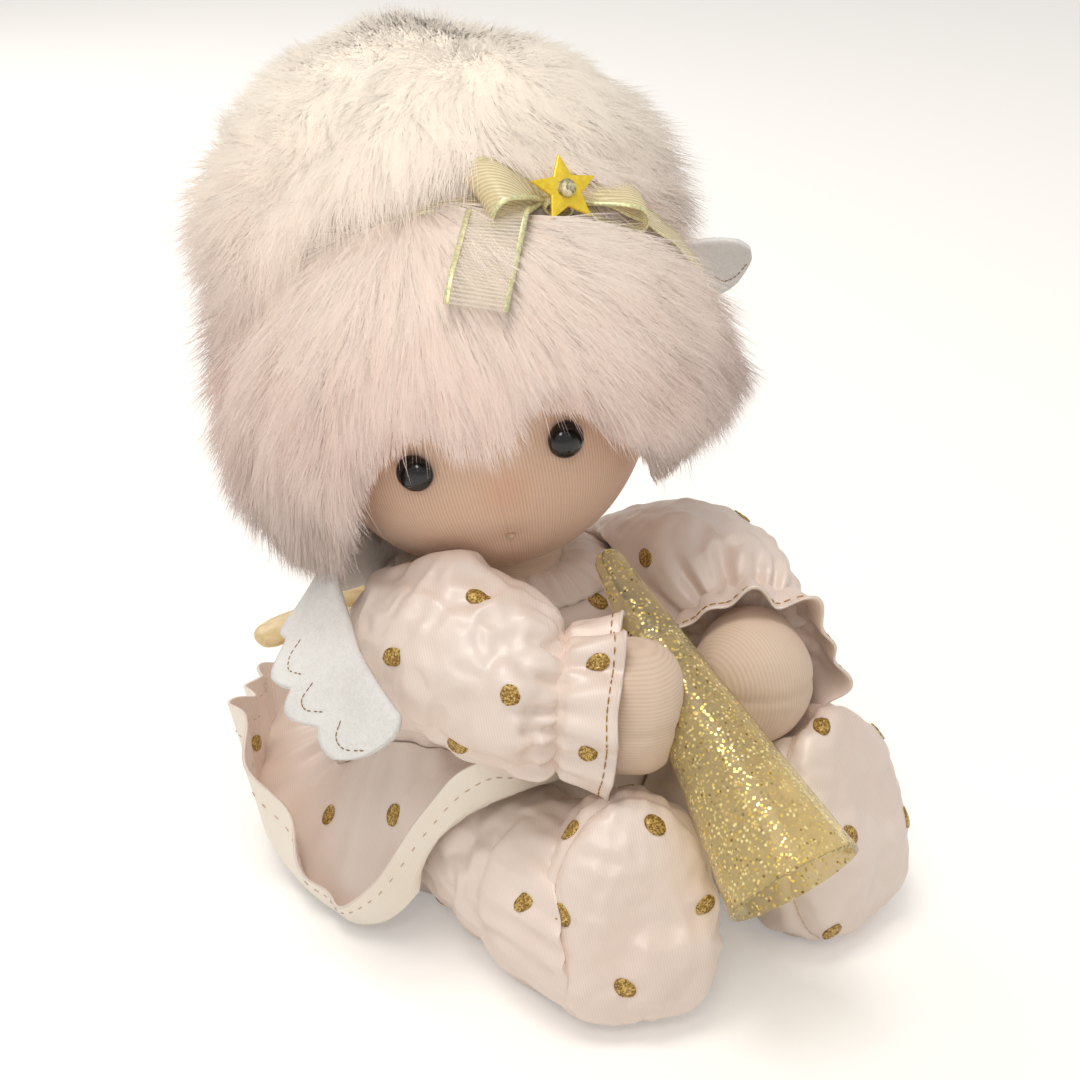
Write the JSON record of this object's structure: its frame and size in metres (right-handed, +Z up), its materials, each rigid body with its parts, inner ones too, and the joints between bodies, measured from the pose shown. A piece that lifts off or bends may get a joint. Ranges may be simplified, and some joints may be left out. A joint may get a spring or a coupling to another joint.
{
  "type": "musical angel doll",
  "caption": "Seated plush angel doll with a swaying, turning head, folding felt wings, a translucent horn and a wind-up music movement driven by a key in its back.",
  "frame": {"origin": "centre of the flat seat under the doll's trunk, on the floor", "axes": "the doll faces -Y, its own left hand is +X, +Z up"},
  "size_m": [0.1589, 0.1779, 0.1786],
  "materials": {
    "satin": "woven satin, soft sheen",
    "knit": "ribbed jersey, matt",
    "fur": "long-pile plush",
    "felt": "matt felt",
    "horn_plastic": "translucent with glitter",
    "eye_plastic": "polished",
    "organza": "sheer ribbon with metallic edges",
    "gilt": "gold lacquer",
    "key_plastic": "semi-gloss",
    "case_plastic": "moulded",
    "brass": "turned",
    "steel": "brushed"
  },
  "bodies": {
    "doll_body": {"torso": "satin", "bodice": "satin", "peplum": "satin", "collar": "satin", "sleeve_left": "satin", "sleeve_right": "satin", "cuff_ruffle_left": "satin", "cuff_ruffle_right": "satin", "hand_left": "knit", "hand_right": "knit", "leg_left": "satin", "leg_right": "satin", "foot_left": "satin", "foot_right": "satin", "horn": "horn_plastic", "case_tub": "case_plastic", "case_lid": "case_plastic", "bedplate": "steel", "tone_comb": "steel", "comb_screw_1": "steel", "comb_screw_2": "steel", "pivot_bracket": "steel", "pivot_pin": "steel", "bracket_screw_1": "steel", "bracket_screw_2": "steel"},
    "key": {"winding_key": "key_plastic", "winding_arbor": "steel"},
    "barrel": {"spring_barrel": "brass", "barrel_cover": "brass", "mainspring": "steel"},
    "cylinder": {"music_cylinder": "brass"},
    "governor": {"governor_wheel": "brass"},
    "fly": {"governor_fly": "steel"},
    "sway_lever": {"head_rod": "steel"},
    "head": {"head": "knit", "eye_left": "eye_plastic", "eye_right": "eye_plastic", "eye_washer_left": "case_plastic", "eye_washer_right": "case_plastic", "hair_front": "fur", "hair_back": "fur", "ribbon_band": "organza", "bow_loop_left": "organza", "bow_loop_right": "organza", "bow_tail": "organza", "bow_knot": "organza", "star_charm": "gilt", "star_stud": "gilt"},
    "wing_right": {"wing_right": "felt"},
    "wing_left": {"wing_left": "felt"}
  },
  "joints": [
    {"name": "key_wind", "type": "hinge", "parent": "doll_body", "child": "key", "pos_m": [-0.007, 0.066, 0.033], "axis": [0, 1, 0], "continuous": true},
    {"name": "barrel_turn", "type": "hinge", "parent": "doll_body", "child": "barrel", "pos_m": [-0.007, 0.006, 0.033], "axis": [0, 1, 0], "continuous": true},
    {"name": "cylinder_turn", "type": "hinge", "parent": "doll_body", "child": "cylinder", "pos_m": [0, 0.006, 0.04827], "axis": [0, 1, 0], "continuous": true},
    {"name": "governor_turn", "type": "hinge", "parent": "doll_body", "child": "governor", "pos_m": [-0.01195, 0.006, 0.04723], "axis": [0, 1, 0], "continuous": true},
    {"name": "fly_turn", "type": "hinge", "parent": "doll_body", "child": "fly", "pos_m": [-0.0095, 0.006, 0.0564], "axis": [0, 1, 0], "continuous": true},
    {"name": "head_sway", "type": "hinge", "parent": "doll_body", "child": "sway_lever", "pos_m": [0, -0.01185, 0.0665], "axis": [0, 1, 0], "range_deg": [0, 18.3]},
    {"name": "head_turn", "type": "hinge", "parent": "sway_lever", "child": "head", "pos_m": [-0.00692, 0, 0.10945], "axis": [-0.1591, 0, 0.9873], "range_deg": [-15, 30]},
    {"name": "wing_right_fold", "type": "hinge", "parent": "doll_body", "child": "wing_right", "pos_m": [-0.006, 0.02944, 0.069], "axis": [0, 0, 1], "range_deg": [-45, 0]},
    {"name": "wing_left_fold", "type": "hinge", "parent": "doll_body", "child": "wing_left", "pos_m": [0.006, 0.02944, 0.069], "axis": [0, 0, 1], "range_deg": [-8, 45]}
  ],
  "couplings": [
    {"joint": "cylinder_turn", "follows": "barrel_turn", "ratio": -2.5},
    {"joint": "governor_turn", "follows": "barrel_turn", "ratio": 7.5},
    {"joint": "fly_turn", "follows": "barrel_turn", "ratio": -28.125}
  ]
}
